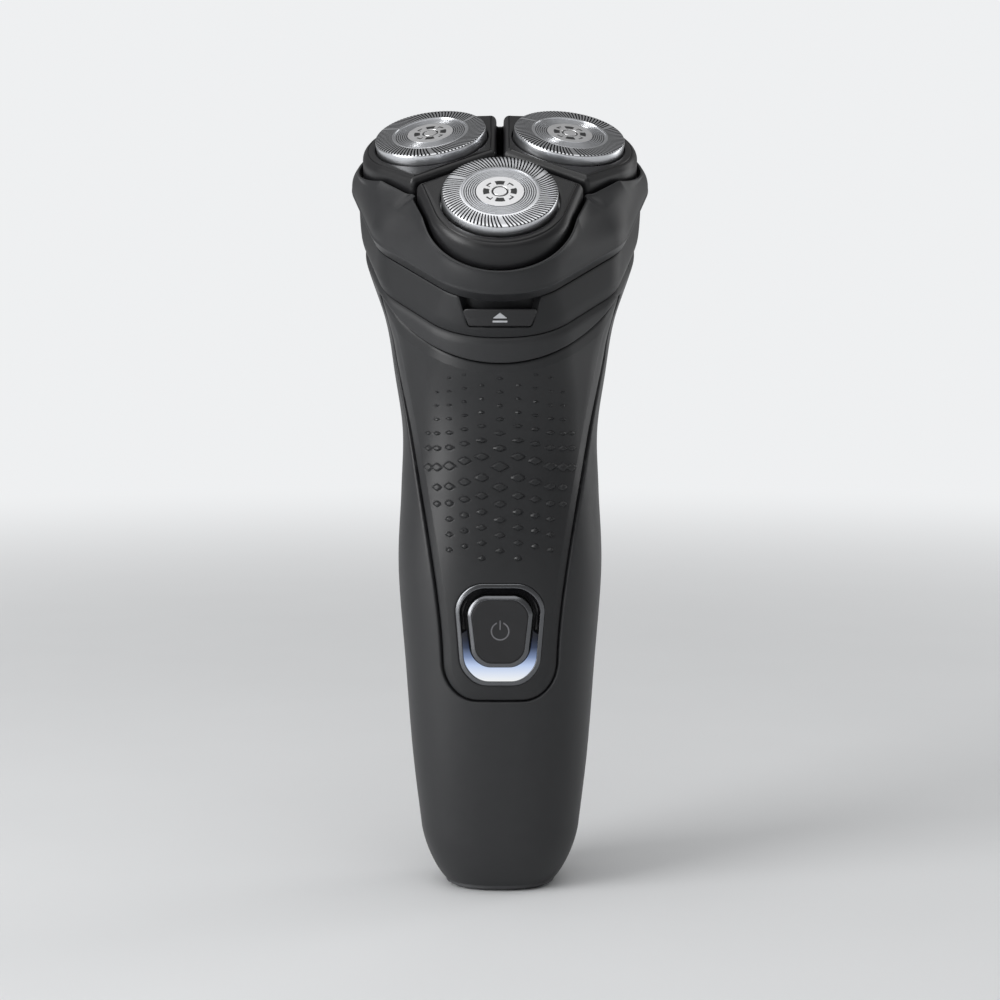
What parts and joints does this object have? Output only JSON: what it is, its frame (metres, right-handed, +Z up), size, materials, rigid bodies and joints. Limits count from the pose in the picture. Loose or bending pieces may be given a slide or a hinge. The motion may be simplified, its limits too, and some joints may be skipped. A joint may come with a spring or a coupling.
{
  "type": "electric shaver",
  "caption": "Cordless rotary shaver: an upright, waisted handle with a lit push button and a tilted, hinged shaving unit whose round heads float and flex by themselves.",
  "frame": {"origin": "centre of the flat foot, on the surface it stands on", "axes": "+Z up along the handle, -Y out of the front with the button, +X to the right as seen from the front"},
  "size_m": [0.0608, 0.0536, 0.1587],
  "materials": {
    "body_shell": "satin charcoal",
    "front_panel": "satin charcoal with a fine diamond relief",
    "foot": "matte dark grey",
    "gloss_trim": "polished black",
    "light_guide": "milky light guide",
    "button_face": "satin",
    "holder_plastic": "satin near-black",
    "shaving_steel": "finely ground stainless steel",
    "fastener_steel": "plain steel",
    "motor_steel": "plated steel",
    "pinion_brass": "plain",
    "cell_case": "sleeved cell",
    "black_plastic": "matte",
    "inner_plastic": "matte grey",
    "gear_plastic": "natural acetal",
    "board": "lacquered",
    "led": "clear",
    "seal_rubber": "soft black"
  },
  "bodies": {
    "handle": {"front_housing": "body_shell", "rear_housing": "body_shell", "front_panel": "front_panel", "neck_shell": "body_shell", "foot_insert": "foot", "switch_bezel": "gloss_trim", "light_ring": "light_guide", "release_spring": "fastener_steel", "charging_inlet": "black_plastic", "inlet_pins": "fastener_steel", "battery": "cell_case", "battery_tabs": "fastener_steel", "chassis": "inner_plastic", "circuit_board": "board", "board_components": "black_plastic", "tactile_switch": "black_plastic", "status_leds": "led", "housing_screws": "fastener_steel", "chamber_floor": "black_plastic", "chamber_seal": "seal_rubber", "spindle_seals": "seal_rubber", "gear_plate": "fastener_steel", "gearbox_screws": "fastener_steel", "motor_can": "motor_steel", "hinge_block": "black_plastic", "hinge_pin": "fastener_steel"},
    "power_button": {"power_button": "button_face", "switch_plunger": "inner_plastic"},
    "release_button": {"release_button": "button_face"},
    "rotor": {"armature": "motor_steel", "motor_shaft": "fastener_steel", "motor_pinion": "pinion_brass"},
    "idler": {"idler_gear": "gear_plastic"},
    "gear_front": {"drive_gear_front": "gear_plastic", "spindle_spring_front": "fastener_steel"},
    "gear_right": {"drive_gear_right": "gear_plastic", "spindle_spring_right": "fastener_steel"},
    "gear_left": {"drive_gear_left": "gear_plastic", "spindle_spring_left": "fastener_steel"},
    "spindle_front": {"drive_spindle_front": "gear_plastic"},
    "spindle_right": {"drive_spindle_right": "gear_plastic"},
    "spindle_left": {"drive_spindle_left": "gear_plastic"},
    "shaving_unit": {"collar": "body_shell", "head_frame": "inner_plastic", "retaining_frame": "inner_plastic", "hinge_lug": "black_plastic"},
    "lock_wheel": {"lock_wheel": "black_plastic"},
    "holder_front": {"cap_holder_front": "holder_plastic", "retaining_ring_front": "inner_plastic"},
    "holder_right": {"cap_holder_right": "holder_plastic", "retaining_ring_right": "inner_plastic"},
    "holder_left": {"cap_holder_left": "holder_plastic", "retaining_ring_left": "inner_plastic"},
    "cap_front": {"shaving_cap_front": "shaving_steel"},
    "cap_right": {"shaving_cap_right": "shaving_steel"},
    "cap_left": {"shaving_cap_left": "shaving_steel"},
    "cutter_front": {"cutter_front": "shaving_steel"},
    "cutter_right": {"cutter_right": "shaving_steel"},
    "cutter_left": {"cutter_left": "shaving_steel"}
  },
  "joints": [
    {"name": "power_press", "type": "slide", "parent": "handle", "child": "power_button", "axis": [0, 1, 0], "range_m": [0, 0.0006], "stiffness_N_per_m": 400, "springref_m": -0.0005},
    {"name": "release_press", "type": "slide", "parent": "handle", "child": "release_button", "axis": [0, 1, 0], "range_m": [0, 0.0012], "stiffness_N_per_m": 500, "springref_m": -0.0005, "deforming": ["release_spring"]},
    {"name": "motor_spin", "type": "hinge", "parent": "handle", "child": "rotor", "pos_m": [0, 0.00737, 0.11007], "axis": [0, -0.515, 0.8572], "continuous": true},
    {"name": "idler_spin", "type": "hinge", "parent": "handle", "child": "idler", "pos_m": [0, 0.00788, 0.12787], "axis": [0, -0.515, 0.8572], "continuous": true},
    {"name": "gear_spin_front", "type": "hinge", "parent": "handle", "child": "gear_front", "pos_m": [0, -0.00638, 0.1228], "axis": [0, -0.515, 0.8572], "continuous": true},
    {"name": "gear_spin_right", "type": "hinge", "parent": "handle", "child": "gear_right", "pos_m": [0.01284, 0.01269, 0.13426], "axis": [0, -0.515, 0.8572], "continuous": true},
    {"name": "gear_spin_left", "type": "hinge", "parent": "handle", "child": "gear_left", "pos_m": [-0.01284, 0.01269, 0.13426], "axis": [0, -0.515, 0.8572], "continuous": true},
    {"name": "spindle_float_front", "type": "slide", "parent": "gear_front", "child": "spindle_front", "axis": [0, -0.515, 0.8572], "range_m": [-0.0012, 0], "deforming": ["spindle_spring_front"]},
    {"name": "spindle_float_right", "type": "slide", "parent": "gear_right", "child": "spindle_right", "axis": [0, -0.515, 0.8572], "range_m": [-0.0012, 0], "deforming": ["spindle_spring_right"]},
    {"name": "spindle_float_left", "type": "slide", "parent": "gear_left", "child": "spindle_left", "axis": [0, -0.515, 0.8572], "range_m": [-0.0012, 0], "deforming": ["spindle_spring_left"]},
    {"name": "unit_hinge", "type": "hinge", "parent": "handle", "child": "shaving_unit", "pos_m": [0, 0.02386, 0.14844], "axis": [-1, 0, 0], "range_deg": [0, 95]},
    {"name": "lock_turn", "type": "hinge", "parent": "shaving_unit", "child": "lock_wheel", "pos_m": [0, 0.0017, 0.13816], "axis": [0, -0.515, 0.8572], "range_deg": [0, 90]},
    {"name": "holder_tilt_front", "type": "hinge", "parent": "shaving_unit", "child": "holder_front", "pos_m": [0, -0.01295, 0.13368], "axis": [1, 0, 0], "range_deg": [-4, 4], "stiffness_Nm_per_rad": 0.05},
    {"name": "holder_tilt_right", "type": "hinge", "parent": "shaving_unit", "child": "holder_right", "pos_m": [0.01287, 0.00616, 0.14516], "axis": [-0.5, 0.7423, 0.446], "range_deg": [-4, 4], "stiffness_Nm_per_rad": 0.05},
    {"name": "holder_tilt_left", "type": "hinge", "parent": "shaving_unit", "child": "holder_left", "pos_m": [-0.01287, 0.00616, 0.14516], "axis": [-0.5, -0.7423, -0.446], "range_deg": [-4, 4], "stiffness_Nm_per_rad": 0.05},
    {"name": "cap_float_front", "type": "slide", "parent": "holder_front", "child": "cap_front", "axis": [0, -0.6361, 0.7716], "range_m": [-0.0012, 0], "stiffness_N_per_m": 300, "springref_m": 0.001},
    {"name": "cap_float_right", "type": "slide", "parent": "holder_right", "child": "cap_right", "axis": [0.128, -0.446, 0.8858], "range_m": [-0.0012, 0], "stiffness_N_per_m": 300, "springref_m": 0.001},
    {"name": "cap_float_left", "type": "slide", "parent": "holder_left", "child": "cap_left", "axis": [-0.128, -0.446, 0.8858], "range_m": [-0.0012, 0], "stiffness_N_per_m": 300, "springref_m": 0.001},
    {"name": "cutter_spin_front", "type": "hinge", "parent": "cap_front", "child": "cutter_front", "pos_m": [0, -0.01702, 0.13862], "axis": [0, -0.6361, 0.7716], "continuous": true},
    {"name": "cutter_spin_right", "type": "hinge", "parent": "cap_right", "child": "cutter_right", "pos_m": [0.01369, 0.0033, 0.15083], "axis": [0.128, -0.446, 0.8858], "continuous": true},
    {"name": "cutter_spin_left", "type": "hinge", "parent": "cap_left", "child": "cutter_left", "pos_m": [-0.01369, 0.0033, 0.15083], "axis": [-0.128, -0.446, 0.8858], "continuous": true}
  ],
  "couplings": [
    {"joint": "idler_spin", "follows": "motor_spin", "ratio": -0.33333},
    {"joint": "gear_spin_front", "follows": "motor_spin", "ratio": 0.55556},
    {"joint": "gear_spin_right", "follows": "motor_spin", "ratio": 0.55556},
    {"joint": "gear_spin_left", "follows": "motor_spin", "ratio": 0.55556},
    {"joint": "cutter_spin_front", "follows": "motor_spin", "ratio": 0.55556},
    {"joint": "cutter_spin_right", "follows": "motor_spin", "ratio": 0.55556},
    {"joint": "cutter_spin_left", "follows": "motor_spin", "ratio": 0.55556},
    {"joint": "spindle_float_front", "follows": "cap_float_front", "ratio": 1},
    {"joint": "spindle_float_right", "follows": "cap_float_right", "ratio": 1},
    {"joint": "spindle_float_left", "follows": "cap_float_left", "ratio": 1}
  ]
}
